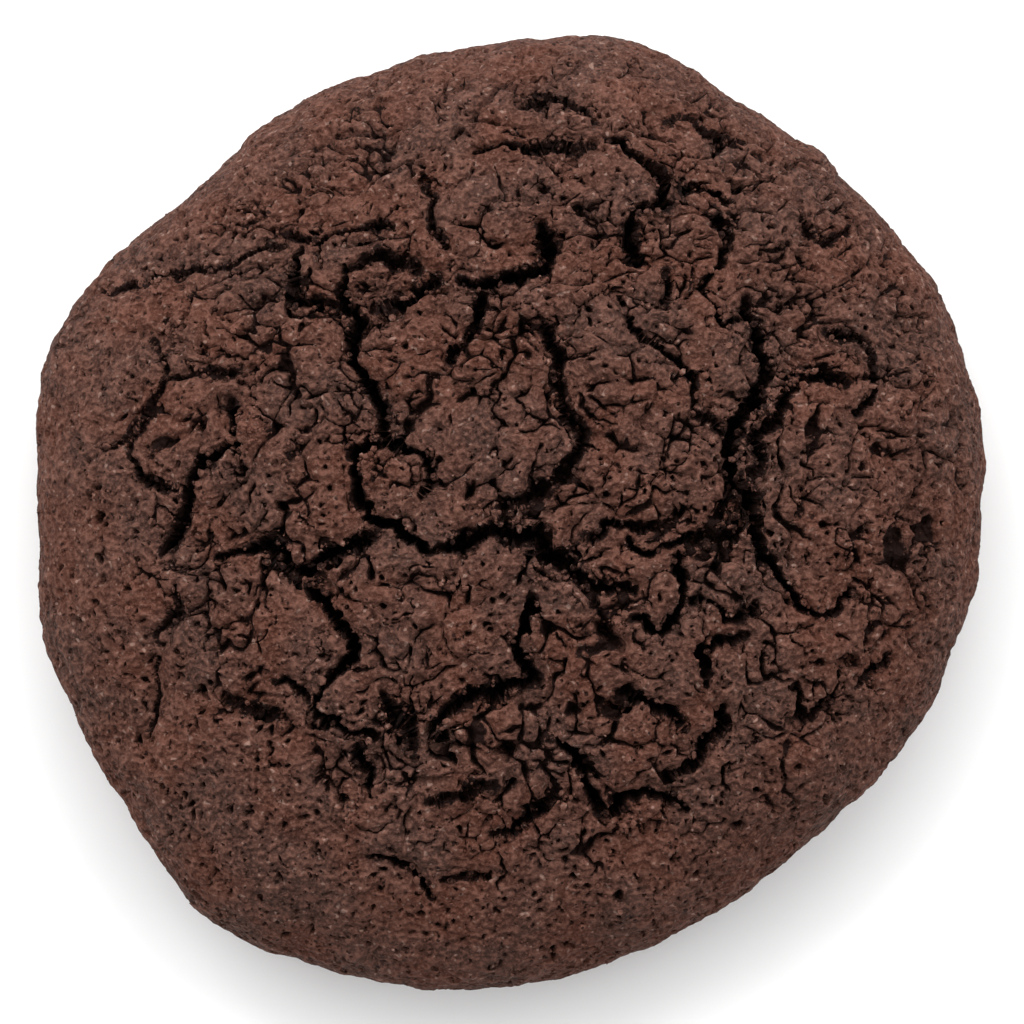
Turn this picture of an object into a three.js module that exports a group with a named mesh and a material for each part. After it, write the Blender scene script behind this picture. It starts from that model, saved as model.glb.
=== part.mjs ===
// A chocolate cookie: a thick, soft-baked round whose crust has broken into puffed plates.
//
// It is one solid. The crust is laid out flat first, as a disc of points measured along the
// surface from the crown. Points are set along the floor and both lips of every fissure, round
// every pit, and evenly between them. They are joined into triangles, and then the disc is
// folded over the domed cross-section and pushed in or out by the relief.
//
// Millimetres, +Z up. The origin is the middle of the flat underside.

import * as THREE from 'three';
import { ConvexHull } from 'three/addons/math/ConvexHull.js';
import { ImprovedNoise } from 'three/addons/math/ImprovedNoise.js';

// ---- Driving dimensions -------------------------------------------------------------------

const WIDTH = 70;             // across, along X
const DEPTH = 70.5;           // front to back, along Y
const HEIGHT = 18;            // from the floor to the highest plate
const WAIST_HEIGHT = 5;       // height of the widest line of the rim
const UNDERCUT = 2.6;         // how far the rim tucks in from the waist to the floor
const CROWN_FULLNESS = 2.5;   // above 2, the crown is flatter and the side steeper
const SIDE_FULLNESS = 2.05;   // above 2, the side stays upright for longer
const LOPSIDED = 0.1;         // the crown is a tenth higher on its high side
const HIGH_SIDE = 50;         // degrees from +X: the cookie slopes more gently opposite

// Reach of the rim from the middle every 15 degrees, from +X towards +Y.
const RIM_REACH = [
  34.9, 35.5, 35.4, 35.0, 35.1, 35.9, 34.9, 34.0, 33.6, 33.6, 35.0, 35.7,
  35.0, 35.3, 35.3, 36.4, 37.0, 35.8, 35.1, 33.9, 33.1, 33.5, 33.9, 34.6,
];

// Fissure grades: width between the lips, and depth below them.
const CANYON = { width: 1.25, depth: 3.4 };
const CRACK = { width: 0.85, depth: 2.3 };
const CREASE = { width: 0.6, depth: 1.2 };
const FISSURE_FADE = 2.2;     // a fissure thins out over this length at each end
const FISSURE_END = 0.35;     // the share of its width and depth that is left at its tip

// Where the crust broke. Each route is the short list of places where that fissure turns.
const FISSURES = [
  [CANYON, [[-12.4, 16.6], [-12.4, 14.9], [-11.2, 13.3], [-10.9, 10.6], [-9.5, 7.6], [-8.9, 4.8]]],
  [CANYON, [[-8.9, 4.7], [-11.5, 3.7], [-11.0, 2.1], [-10.3, 0.0], [-8.5, -1.4], [-5.3, -2.9]]],
  [CANYON, [[-20.7, -3.1], [-17.0, -2.9], [-15.2, -4.9], [-12.8, -3.2], [-9.6, -1.7]]],
  [CANYON, [[-5.3, -2.9], [-3.0, -1.9], [-0.3, -1.2], [2.8, -2.8], [5.2, -5.1], [8.6, -5.7]]],
  [CANYON, [[17.0, 15.0], [18.2, 11.5], [18.2, 8.6], [16.6, 6.6], [15.6, 4.6], [17.0, 1.4]]],
  [CANYON, [[17.0, 1.4], [17.2, -0.5], [18.7, -3.4], [21.2, -7.2], [23.3, -7.5], [24.9, -6.0]]],
  [CANYON, [[2.2, 13.4], [3.6, 10.4], [4.5, 7.3], [5.0, 4.5], [2.2, 1.1], [-0.3, 0.2], [-0.4, -1.1]]],
  [CANYON, [[2.2, 20.3], [2.8, 18.9], [2.0, 17.3], [-0.3, 17.0], [-2.4, 16.2], [-3.8, 16.8]]],
  [CANYON, [[7.0, 26.8], [10.5, 24.9], [10.9, 22.4], [9.0, 21.6], [8.4, 19.8], [9.0, 17.8]]],
  [CANYON, [[-5.0, -17.2], [-5.0, -15.3], [-1.8, -13.1], [1.6, -12.2], [0.4, -9.4], [1.3, -6.8]]],
  [CANYON, [[2.9, -16.7], [5.6, -18.9], [6.5, -21.7], [8.8, -20.9], [11.2, -21.0], [13.0, -22.1]]],
  [CANYON, [[-14.8, -5.4], [-12.1, -8.4], [-11.4, -10.4], [-13.7, -13.8], [-11.8, -15.8], [-10.2, -16.5]]],
  [CANYON, [[-20.3, 7.4], [-20.1, 4.3], [-22.7, 3.2], [-23.9, -0.4], [-25.5, -3.0]]],
  [CANYON, [[12.0, -3.3], [12.4, -6.6], [11.4, -8.7], [8.8, -7.9]]],
  [CANYON, [[15.3, -14.2], [15.2, -15.8], [13.7, -17.9], [11.4, -19.6]]],
  [CANYON, [[7.8, -13.2], [10.6, -14.1], [12.9, -16.4]]],
  [CRACK, [[17.2, 1.9], [18.2, 3.6], [17.9, 5.4], [19.5, 7.2], [21.4, 9.7], [24.8, 9.3]]],
  [CRACK, [[25.3, 7.2], [26.9, 8.9], [26.4, 11.8], [25.2, 13.0], [23.3, 13.1]]],
  [CRACK, [[5.0, -2.0], [8.0, -1.2], [11.2, -0.9]]],
  [CRACK, [[8.4, -2.1], [9.7, -3.5], [12.0, -2.5], [15.6, -2.2], [16.8, -0.6]]],
  [CRACK, [[3.0, -20.6], [1.3, -22.6], [-1.7, -23.4]]],
  [CRACK, [[-8.9, 4.7], [-6.3, 4.2], [-5.9, 2.4], [-6.6, 1.0]]],
  [CRACK, [[-2.5, 16.0], [-2.3, 13.2], [-3.6, 12.0], [-3.9, 10.2]]],
  [CRACK, [[-12.5, 16.8], [-9.0, 18.3], [-6.4, 17.3]]],
  [CRACK, [[-5.2, 16.7], [-6.9, 15.0], [-9.2, 14.3]]],
  [CRACK, [[-16.3, 19.9], [-14.4, 19.2], [-12.3, 20.0], [-8.4, 20.3]]],
  [CRACK, [[-15.2, 19.0], [-15.9, 16.8], [-14.6, 14.7], [-12.6, 14.8]]],
  [CRACK, [[-25.9, 12.0], [-25.2, 9.0], [-27.9, 5.2], [-29.8, 4.4]]],
  [CRACK, [[15.3, 21.8], [15.4, 18.7], [14.0, 16.6], [14.9, 14.2], [16.8, 13.7]]],
  [CRACK, [[21.3, 21.8], [21.8, 19.9], [23.6, 19.3], [24.9, 20.6]]],
  [CRACK, [[20.6, -13.1], [21.4, -15.3], [23.2, -13.8], [23.9, -12.0]]],
  [CRACK, [[12.8, -7.1], [15.0, -6.8], [16.2, -8.4], [17.6, -7.0]]],
  [CRACK, [[17.3, -9.3], [15.3, -9.5], [13.8, -11.0], [14.2, -13.0]]],
  [CRACK, [[-24.6, -5.2], [-24.2, -7.3], [-25.9, -9.8]]],
  [CRACK, [[-17.0, -12.3], [-15.9, -11.9], [-13.8, -14.2]]],
  [CRACK, [[-11.4, -17.3], [-10.4, -19.2], [-9.8, -20.9]]],
  [CRACK, [[-9.4, -13.4], [-8.2, -15.2], [-7.2, -17.2]]],
  [CRACK, [[-10.2, -24.9], [-7.7, -25.6], [-5.7, -28.3]]],
  [CREASE, [[-25.1, 9.4], [-21.9, 9.7], [-19.3, 10.0]]],
  [CREASE, [[-28.0, 4.8], [-27.3, 2.5], [-24.2, 1.4]]],
  [CREASE, [[8.0, 14.9], [9.5, 12.4], [12.7, 9.9], [14.0, 6.9], [15.6, 5.5]]],
  [CREASE, [[11.1, 17.4], [11.4, 15.0]]],
  [CREASE, [[12.4, 23.3], [16.5, 22.7]]],
  [CREASE, [[-5.8, 23.2], [-5.7, 21.0], [-4.9, 19.2]]],
  [CREASE, [[-2.6, 26.0], [-0.6, 26.4], [3.0, 26.3], [6.0, 26.1]]],
  [CREASE, [[11.5, 29.3], [14.0, 28.6], [16.8, 27.2]]],
  [CREASE, [[0.4, 29.5], [3.6, 29.9], [6.4, 28.2]]],
  [CREASE, [[-25.9, -11.2], [-26.1, -14.2], [-26.7, -16.9]]],
  [CREASE, [[-20.3, -13.4], [-17.4, -15.3]]],
  [CREASE, [[-5.6, -21.3], [-3.6, -20.8], [-1.4, -19.5]]],
  [CREASE, [[-4.6, -27.0], [-1.6, -26.8]]],
  [CREASE, [[27.7, -10.7], [25.3, -12.8]]],
];

// The largest pits, each with its place, its width and its depth.
const PITS = [
  { x: 0.0, y: -17.2, width: 1.6, depth: 2.2 },
  { x: 7.4, y: -8.8, width: 1.4, depth: 2.2 },
  { x: 8.4, y: -13.6, width: 1.5, depth: 2.2 },
  { x: -16.3, y: 0.3, width: 1.0, depth: 1.8 },
  { x: -22.2, y: 6.1, width: 0.9, depth: 1.5 },
  { x: -18.0, y: 15.2, width: 0.9, depth: 1.5 },
  { x: -22.1, y: -12.9, width: 0.9, depth: 1.5 },
  { x: -2.7, y: 1.6, width: 1.0, depth: 1.6 },
  { x: 22.0, y: 6.1, width: 1.1, depth: 1.5 },
  { x: 21.0, y: 25.4, width: 1.1, depth: 1.4 },
  { x: 16.8, y: -22.9, width: 1.0, depth: 1.4 },
  { x: -11.8, y: -20.6, width: 1.0, depth: 1.4 },
  { x: 24.9, y: -11.0, width: 1.4, depth: 1.2 },
  { x: 8.2, y: -27.8, width: 1.0, depth: 1.2 },
];

// Relief of the plates between the fissures.
const PUFF = 1.1;             // how far the middle of a plate stands above its edge
const PUFF_REACH = 1.5;       // how far in from a fissure the plate's shoulder runs
const LUMPS = [
  { size: 8.5, height: 0.55 },
  { size: 3.6, height: 0.6 },
];

// Spacing of the points.
const FISSURE_STEP = 0.95;    // along a fissure
const CRUST_POINTS = 3900;    // spread evenly, before those in a fissure are dropped
const RIM_EDGES = 132;        // sides of the underside's outline
const CLEAR_OF_FLOOR_LINE = 0.5;
const CLEAR_OF_LIP = 0.34;
const CLEAR_OF_CRUST = 0.78;
const SECTION_STEPS = 600;    // steps along the cross-section

const COLOUR = '#4b332c';
const ROUGHNESS = 0.82;

// ---- The cross-section, from the crown to the edge of the underside ------------------------

const MEAN_REACH = RIM_REACH.reduce((sum, reach) => sum + reach, 0) / RIM_REACH.length;

// A point of the section: t runs from 0 at the crown to 1 at the waist and 2 at the floor.
function sectionPoint(t) {
  if (t <= 1) {
    const turn = t * Math.PI / 2;
    const reach = MEAN_REACH * Math.sin(turn) ** (2 / CROWN_FULLNESS);
    const rise = Math.max(Math.cos(turn), 0) ** (2 / SIDE_FULLNESS);
    return { reach, height: WAIST_HEIGHT + (HEIGHT - WAIST_HEIGHT) * rise };
  }
  const turn = (t - 1) * Math.PI / 2;
  return {
    reach: MEAN_REACH - UNDERCUT * (1 - Math.cos(turn)),
    height: WAIST_HEIGHT * (1 - Math.sin(turn)),
  };
}

// The section again, with each point's distance along the crust from the crown.
function measureSection() {
  const section = [{ ...sectionPoint(0), along: 0 }];
  for (let i = 1; i <= SECTION_STEPS; i += 1) {
    const point = sectionPoint((2 * i) / SECTION_STEPS);
    const last = section[section.length - 1];
    const step = Math.hypot(point.reach - last.reach, point.height - last.height);
    section.push({ ...point, along: last.along + step });
  }
  return section;
}

const SECTION = measureSection();
const CRUST_LENGTH = SECTION[SECTION_STEPS].along;

// Reach, height and outward direction at a distance along the crust.
function sectionAt(along) {
  let i = 1;
  while (i < SECTION_STEPS && SECTION[i].along < along) i += 1;
  const [a, b] = [SECTION[i - 1], SECTION[i]];
  const share = THREE.MathUtils.clamp((along - a.along) / (b.along - a.along), 0, 1);
  const run = b.reach - a.reach;
  const fall = a.height - b.height;
  const length = Math.hypot(run, fall);
  return {
    reach: THREE.MathUtils.lerp(a.reach, b.reach, share),
    height: THREE.MathUtils.lerp(a.height, b.height, share),
    outward: fall / length,
    upward: run / length,
  };
}

// The distance along the crust at which the section first reaches this far out.
function alongAt(reach) {
  const i = SECTION.findIndex((point) => point.reach >= reach);
  if (i < 1) return i === 0 ? 0 : CRUST_LENGTH;
  const [a, b] = [SECTION[i - 1], SECTION[i]];
  return THREE.MathUtils.lerp(a.along, b.along, (reach - a.reach) / (b.reach - a.reach));
}

// The outline's reach in a direction, eased between the stated reaches.
function rimReach(angle) {
  const count = RIM_REACH.length;
  const turn = THREE.MathUtils.euclideanModulo(angle / (2 * Math.PI), 1) * count;
  const i = Math.floor(turn);
  const reachAt = (k) => RIM_REACH[THREE.MathUtils.euclideanModulo(k, count)];
  const near = new THREE.CubicInterpolant(
    [-1, 0, 1, 2],
    [reachAt(i - 1), reachAt(i), reachAt(i + 1), reachAt(i + 2)],
    1,
  );
  return near.evaluate(turn - i)[0];
}

// A place seen from above, as a point of the flat disc.
function unroll(x, y) {
  const angle = Math.atan2(y, x);
  const along = alongAt(Math.hypot(x, y) * MEAN_REACH / rimReach(angle));
  return new THREE.Vector2(along * Math.cos(angle), along * Math.sin(angle));
}

// ---- Fissures and pits --------------------------------------------------------------------

// Walks a fissure and returns its places, each with the width and depth there.
function walkFissure([grade, turns]) {
  const curve = new THREE.CatmullRomCurve3(turns.map(([x, y]) => new THREE.Vector3(x, y, 0)));
  const length = curve.getLength();
  const steps = Math.max(2, Math.round(length / FISSURE_STEP));
  return Array.from({ length: steps + 1 }, (_, i) => {
    const share = i / steps;
    const toTip = Math.min(share, 1 - share) * length;
    const strength = FISSURE_END + (1 - FISSURE_END) * Math.min(toTip / FISSURE_FADE, 1);
    const place = curve.getPointAt(share);
    const heading = curve.getTangentAt(share);
    return {
      x: place.x,
      y: place.y,
      across: new THREE.Vector2(-heading.y, heading.x),
      half: grade.width * strength / 2,
      depth: grade.depth * strength,
    };
  });
}

const WALKS = FISSURES.map(walkFissure);
const STRETCHES = WALKS.flatMap((walk) => walk.slice(1).map((end, i) => [walk[i], end]));

// How deep the fissures cut at a place, and how far off the nearest lip is.
function fissureAt(x, y) {
  let depth = 0;
  let lipDistance = Infinity;
  for (const [a, b] of STRETCHES) {
    const run = { x: b.x - a.x, y: b.y - a.y };
    const square = run.x * run.x + run.y * run.y;
    const share = THREE.MathUtils.clamp(((x - a.x) * run.x + (y - a.y) * run.y) / square, 0, 1);
    const distance = Math.hypot(x - a.x - share * run.x, y - a.y - share * run.y);
    const half = THREE.MathUtils.lerp(a.half, b.half, share);
    const floor = THREE.MathUtils.lerp(a.depth, b.depth, share);
    depth = Math.max(depth, floor * (1 - distance / half));
    lipDistance = Math.min(lipDistance, Math.max(distance - half, 0));
  }
  return { depth, lipDistance };
}

function pitDepthAt(x, y) {
  let depth = 0;
  for (const pit of PITS) {
    const distance = Math.hypot(x - pit.x, y - pit.y);
    depth = Math.max(depth, pit.depth * (1 - distance / (pit.width / 2)));
  }
  return depth;
}

// ---- The points of the flat disc -----------------------------------------------------------

const points = [];

// Keeps a point if it stands clear of those already kept.
function keep(point, clearance) {
  if (point.length() > CRUST_LENGTH - clearance) return;
  if (points.some((other) => other.distanceTo(point) < clearance)) return;
  points.push(point);
}

function setUnderside() {
  for (let i = 0; i < RIM_EDGES; i += 1) {
    const angle = (2 * Math.PI * i) / RIM_EDGES;
    const place = new THREE.Vector2(Math.cos(angle), Math.sin(angle));
    points.push(place.multiplyScalar(CRUST_LENGTH));
  }
}

function setFissureFloors() {
  for (const stop of WALKS.flat()) keep(unroll(stop.x, stop.y), CLEAR_OF_FLOOR_LINE);
}

function setPits() {
  const sides = 6;
  for (const pit of PITS) {
    keep(unroll(pit.x, pit.y), CLEAR_OF_LIP);
    for (let i = 0; i < sides; i += 1) {
      const angle = (2 * Math.PI * i) / sides;
      const x = pit.x + (pit.width / 2) * Math.cos(angle);
      const y = pit.y + (pit.width / 2) * Math.sin(angle);
      keep(unroll(x, y), CLEAR_OF_LIP);
    }
  }
}

function setFissureLips() {
  const inAnotherMouth = CREASE.depth / 4;
  for (const stop of WALKS.flat()) {
    for (const side of [-1, 1]) {
      const x = stop.x + side * stop.half * stop.across.x;
      const y = stop.y + side * stop.half * stop.across.y;
      const free = fissureAt(x, y).depth < inAnotherMouth;
      if (free) keep(unroll(x, y), Math.min(CLEAR_OF_LIP, stop.half));
    }
  }
}

// A sunflower's spiral spreads points evenly over a disc.
function setCrust() {
  const goldenTurn = Math.PI * (3 - Math.sqrt(5));
  for (let i = 0; i < CRUST_POINTS; i += 1) {
    const along = CRUST_LENGTH * Math.sqrt((i + 0.5) / CRUST_POINTS);
    const angle = goldenTurn * i;
    keep(new THREE.Vector2(along * Math.cos(angle), along * Math.sin(angle)), CLEAR_OF_CRUST);
  }
}

// Joins the disc's points into triangles. Raised onto a bowl whose height is the square of the
// distance from the middle, the points' convex hull has the wanted triangles as its underside.
function joinPoints() {
  const raised = points.map((p) => new THREE.Vector3(p.x, p.y, p.lengthSq()));
  const order = new Map(raised.map((point, i) => [point, i]));
  const hull = new ConvexHull().setFromPoints(raised);
  const triangles = [];
  for (const face of hull.faces) {
    if (face.normal.z >= -Number.EPSILON) continue;
    const corners = [face.getEdge(0), face.getEdge(1), face.getEdge(2)];
    const [a, b, c] = corners.map((edge) => order.get(edge.head().point));
    triangles.push(a, c, b);
  }
  return triangles;
}

// ---- The solid -----------------------------------------------------------------------------

const grain = new ImprovedNoise();

function lumpsAt(x, y, z) {
  return LUMPS.reduce((sum, lump, i) => {
    const away = 40 * (i + 1);
    const wave = grain.noise(x / lump.size + away, y / lump.size + away, z / lump.size + away);
    return sum + lump.height * wave;
  }, 0);
}

// Folds a point of the disc over the dome and adds the relief.
function foldOver(point) {
  const angle = Math.atan2(point.y, point.x);
  const section = sectionAt(point.length());
  const reach = section.reach * rimReach(angle) / MEAN_REACH;
  const [x, y] = [reach * Math.cos(angle), reach * Math.sin(angle)];

  const highSide = THREE.MathUtils.degToRad(HIGH_SIDE);
  const towardsHigh = (x * Math.cos(highSide) + y * Math.sin(highSide)) / MEAN_REACH;
  const aboveWaist = Math.max(section.height - WAIST_HEIGHT, 0);
  const height = section.height + aboveWaist * LOPSIDED * towardsHigh;

  const { depth, lipDistance } = fissureAt(x, y);
  const sag = PUFF * Math.exp(-lipDistance / PUFF_REACH);
  const hollow = sag + Math.max(depth, pitDepthAt(x, y));
  const aboveFloor = THREE.MathUtils.smoothstep(section.height, 0, WAIST_HEIGHT);
  const out = (lumpsAt(x, y, height) - hollow) * aboveFloor;
  return new THREE.Vector3(
    x + out * section.outward * Math.cos(angle),
    y + out * section.outward * Math.sin(angle),
    height + out * section.upward,
  );
}

// Brings the solid to its stated size, with its underside's middle at the origin.
function trimToSize(geometry) {
  geometry.computeBoundingBox();
  const size = geometry.boundingBox.getSize(new THREE.Vector3());
  const middle = geometry.boundingBox.getCenter(new THREE.Vector3());
  geometry.translate(-middle.x, -middle.y, -geometry.boundingBox.min.z);
  geometry.scale(WIDTH / size.x, DEPTH / size.y, HEIGHT / size.z);
}

function cookieGeometry() {
  setUnderside();
  setFissureFloors();
  setPits();
  setFissureLips();
  setCrust();
  const triangles = joinPoints();
  const folded = points.map(foldOver);

  // The flat underside is a fan about its middle.
  const middle = folded.length;
  folded.push(new THREE.Vector3(0, 0, 0));
  for (let i = 0; i < RIM_EDGES; i += 1) triangles.push(middle, (i + 1) % RIM_EDGES, i);

  const geometry = new THREE.BufferGeometry().setFromPoints(folded);
  geometry.setIndex(triangles);
  trimToSize(geometry);
  geometry.computeVertexNormals();
  return geometry;
}

const crust = new THREE.MeshStandardMaterial({ color: COLOUR, roughness: ROUGHNESS, metalness: 0 });
const cookie = new THREE.Mesh(cookieGeometry(), crust);
cookie.name = 'cookie';

const group = new THREE.Group();
group.name = 'chocolate_cookie';
group.add(cookie);

export default group;
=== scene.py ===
# %% [markdown]
# # A chocolate cookie
# A thick, soft-baked cookie is a ball of dark dough that slumps into a round in the oven. Its skin
# dries first, and the dough inside goes on rising, so the skin breaks into puffed plates with
# fissures between them. Steam leaves pits and pores all over.
#
# The CAD solid holds the true size, the dome and the main fissures. This file makes the same form
# again at the grain of the real crust. It works as a baker's cookie does: a smooth blank first,
# then the breaks, then the crumb. The lighting and the camera come last.

# %% The frame
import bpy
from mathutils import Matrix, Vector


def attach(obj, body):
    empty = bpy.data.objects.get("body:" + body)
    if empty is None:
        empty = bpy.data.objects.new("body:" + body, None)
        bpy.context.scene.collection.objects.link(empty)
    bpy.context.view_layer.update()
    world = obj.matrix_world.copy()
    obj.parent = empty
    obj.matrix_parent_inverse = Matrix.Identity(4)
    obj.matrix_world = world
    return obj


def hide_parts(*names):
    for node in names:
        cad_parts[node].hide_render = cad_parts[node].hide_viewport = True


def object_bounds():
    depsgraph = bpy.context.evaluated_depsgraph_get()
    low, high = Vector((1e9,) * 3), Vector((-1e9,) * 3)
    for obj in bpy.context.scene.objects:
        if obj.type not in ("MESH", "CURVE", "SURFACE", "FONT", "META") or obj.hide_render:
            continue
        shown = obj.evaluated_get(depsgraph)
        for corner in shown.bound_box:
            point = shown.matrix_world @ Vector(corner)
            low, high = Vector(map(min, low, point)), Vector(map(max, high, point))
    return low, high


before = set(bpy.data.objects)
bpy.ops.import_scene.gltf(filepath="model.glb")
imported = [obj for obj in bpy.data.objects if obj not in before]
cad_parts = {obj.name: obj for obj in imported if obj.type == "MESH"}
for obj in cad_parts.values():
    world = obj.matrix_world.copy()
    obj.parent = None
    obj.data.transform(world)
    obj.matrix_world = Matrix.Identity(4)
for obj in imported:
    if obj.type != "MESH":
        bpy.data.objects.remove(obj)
cad_low, cad_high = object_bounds()
print("CAD box in metres:", [round(b - a, 4) for a, b in zip(cad_low, cad_high)])

# %% What the lesson uses
import itertools
import math

import bmesh
import bpy
import numpy as np

# %% [markdown]
# ## How fine to work
# The finest pits that show are about a quarter of a millimetre across. A mesh as even as that would
# need over a million faces, so the shaping is done on a dense skin, and the finished skin is
# thinned where it is smooth. Shaping is done with one Blender unit to the millimetre, because the
# tools that reskin and thin a mesh round off sizes near a ten-thousandth of a unit.

# %% How fine to work
MM = 0.001
SKIN = 0.115    # spacing of the dense skin, in millimetres
MOST_FACES = 197_000                    # triangles in the finished crust
BALL_STEPS = 7                          # how often the blank's ball is divided
print("skin spacing:", SKIN, "mm")

# %% [markdown]
# ## Unevenness
# The crust is uneven at every scale, from swells as wide as a finger to grains of flour. All of it
# comes from one noise: random heights on a lattice with smooth joins. Where the noise crosses zero,
# its size alone has a sharp crease, and a plump lump on each side, as rising dough has. Blender's
# own noise textures would do, but they work one point at a time, so here all the points are worked
# out together with NumPy. Each use of the noise has a salt, a number of its own, so that no two
# patterns line up.

# %% Random shares on a lattice
rng = np.random.default_rng(20)
LUCK = rng.random(65_536).astype(np.float32)
LATTICE_STEPS = np.array([7_919, 15_373, 31_547])
TILT = np.array([[0.8, 0.48, 0.36], [-0.6, 0.64, 0.48], [0, -0.6, 0.8]])   # keeps rows off the axes


def luck(cell, salt):
    """An even random share, from 0 to 1, for each cell of a lattice."""
    return LUCK[(cell @ LATTICE_STEPS[:cell.shape[1]] + salt * 1_013) % len(LUCK)]


# %% Swells and lumps
def swell(points, size, salt):
    """Rolling noise from -1 to 1, whose swells are about this size."""
    axes = points.shape[1]
    at = (points @ TILT[:axes, :axes] / size + 7.3 * salt).astype(np.float32)
    home = np.floor(at).astype(np.int64)
    part = at - home.astype(np.float32)
    ease_in = part * part * (3 - 2 * part)
    height = np.zeros(len(points), np.float32)
    for corner in itertools.product((0, 1), repeat=axes):
        share = np.where(np.array(corner), ease_in, 1 - ease_in).prod(axis=1)
        height += share * luck(home + corner, salt)
    return 2 * height - 1


def lumps(points, size, salt):
    """Plump lumps of about this size that meet in sharp creases, from 0 in a crease to 1."""
    return np.sqrt(np.abs(swell(points, size, salt)))


def plates(points, size, salt):
    """Plates round scattered seeds: each point's way to its plate's edge, and the plate's own share."""
    at = (points / size).astype(np.float32)
    home = np.floor(at).astype(np.int64)
    first = np.full(len(at), np.inf, np.float32)
    second = first.copy()
    own = np.zeros(len(at), np.float32)
    for step in itertools.product((-1, 0, 1), repeat=3):
        cell = home + step
        off = np.sqrt(sum((cell[:, k] + luck(cell, salt + k) - at[:, k]) ** 2 for k in range(3)))
        nearer = off < first
        second = np.where(nearer, first, np.minimum(second, off))
        own = np.where(nearer, luck(cell, salt + 3), own)
        first = np.where(nearer, off, first)
    return (second - first) / 2 * size, own


def ease(low, high, values):
    """0 below low and 1 above high, with a smooth rise between."""
    part = np.clip((values - low) / (high - low), 0, 1)
    return part * part * (3 - 2 * part)


# %% [markdown]
# ## The cross-section
# The outline could be drawn as a spline and turned on a wheel, but the cookie isn't round, and its
# crown leans. A formula for the section, stretched in each direction to the outline's reach, gives
# both. It is the CAD solid's own section: a full dome down to the waist, and a tuck under to the
# flat underside.

# %% The section's sizes, in millimetres
CAD_SIZE = [(b - a) / MM for a, b in zip(cad_low, cad_high)]
HEIGHT = CAD_SIZE[2]
WAIST_HEIGHT = 5
UNDERCUT = 2.6
CROWN_FULLNESS = 2.5
SIDE_FULLNESS = 2.05
LOPSIDED = 0.1
HIGH_SIDE = math.radians(50)

# Reach of the rim from the middle every 15 degrees, from +X towards +Y.
RIM_REACH = np.array([
    34.9, 35.5, 35.4, 35.0, 35.1, 35.9, 34.9, 34.0, 33.6, 33.6, 35.0, 35.7,
    35.0, 35.3, 35.3, 36.4, 37.0, 35.8, 35.1, 33.9, 33.1, 33.5, 33.9, 34.6,
])
MEAN_REACH = RIM_REACH.mean()

# %% The section as a curve
SECTION_STEPS = 600
turn = np.linspace(0, math.pi / 2, SECTION_STEPS)
dome_reach = MEAN_REACH * np.sin(turn) ** (2 / CROWN_FULLNESS)
dome_height = WAIST_HEIGHT + (HEIGHT - WAIST_HEIGHT) * np.cos(turn).clip(0) ** (2 / SIDE_FULLNESS)
tuck_reach = MEAN_REACH - UNDERCUT * (1 - np.cos(turn))
tuck_height = WAIST_HEIGHT * (1 - np.sin(turn))
section_reach = np.concatenate([dome_reach, tuck_reach[1:]])
section_height = np.concatenate([dome_height, tuck_height[1:]])
section_steps = np.hypot(np.diff(section_reach), np.diff(section_height))
section_along = np.concatenate([[0], np.cumsum(section_steps)])
CRUST_LENGTH = section_along[-1]
print("from the crown over the side to the underside:", round(CRUST_LENGTH, 1), "mm")


# %% The outline
def rim_reach(angle):
    """The outline's reach in a direction, eased between the stated reaches."""
    count = len(RIM_REACH)
    at = np.mod(angle / (2 * math.pi), 1) * count
    i = np.floor(at).astype(int)
    t = at - i
    a, b, c, d = (RIM_REACH[(i + k) % count] for k in (-1, 0, 1, 2))
    rise, bend = (c - a) / 2, (d - b) / 2
    return (
        b + rise * t
        + (3 * (c - b) - 2 * rise - bend) * t ** 2
        + (2 * (b - c) + rise + bend) * t ** 3
    )


def lean(points):
    """Raises the dome on its high side and lowers it opposite."""
    towards_high = (points[:, 0] * math.cos(HIGH_SIDE) + points[:, 1] * math.sin(HIGH_SIDE)) / MEAN_REACH
    above_waist = np.maximum(points[:, 2] - WAIST_HEIGHT, 0)
    points[:, 2] += above_waist * LOPSIDED * towards_high


# %% [markdown]
# ## The blank
# The blank starts as a ball, which has no seam and no pole. Each point of the ball keeps its
# compass direction. Its turn from the top sets how far along the section it goes, and the last
# quarter of the turn closes the underside. Then a voxel remesh gives the blank an even skin.

# %% A ball pressed into the cookie's section
UNDERSIDE_TURN = 0.75        # share of the half turn at which the underside starts


def press_ball():
    """A bmesh ball whose points are moved onto the cookie's section."""
    ball = bmesh.new()
    bmesh.ops.create_icosphere(ball, subdivisions=BALL_STEPS, radius=1)
    mesh = bpy.data.meshes.new("blank")
    ball.to_mesh(mesh)
    ball.free()
    way = read_points(mesh)
    angle = np.arctan2(way[:, 1], way[:, 0])
    turned = np.arccos(way[:, 2].clip(-1, 1)) / math.pi
    along = CRUST_LENGTH * np.minimum(turned / UNDERSIDE_TURN, 1)
    reach = np.interp(along, section_along, section_reach)
    reach *= np.minimum((1 - turned) / (1 - UNDERSIDE_TURN), 1) * rim_reach(angle) / MEAN_REACH
    height = np.interp(along, section_along, section_height)
    points = np.stack([reach * np.cos(angle), reach * np.sin(angle), height], axis=1)
    lean(points)
    write_points(mesh, points)
    return mesh


def read_points(mesh):
    """The mesh's points as rows of x, y, z."""
    flat = np.empty(len(mesh.vertices) * 3, np.float32)
    mesh.vertices.foreach_get("co", flat)
    return flat.reshape(-1, 3).astype(float)


def write_points(mesh, points):
    """Moves the mesh's points."""
    mesh.vertices.foreach_set("co", points.astype(np.float32).ravel())
    mesh.update()


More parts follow.
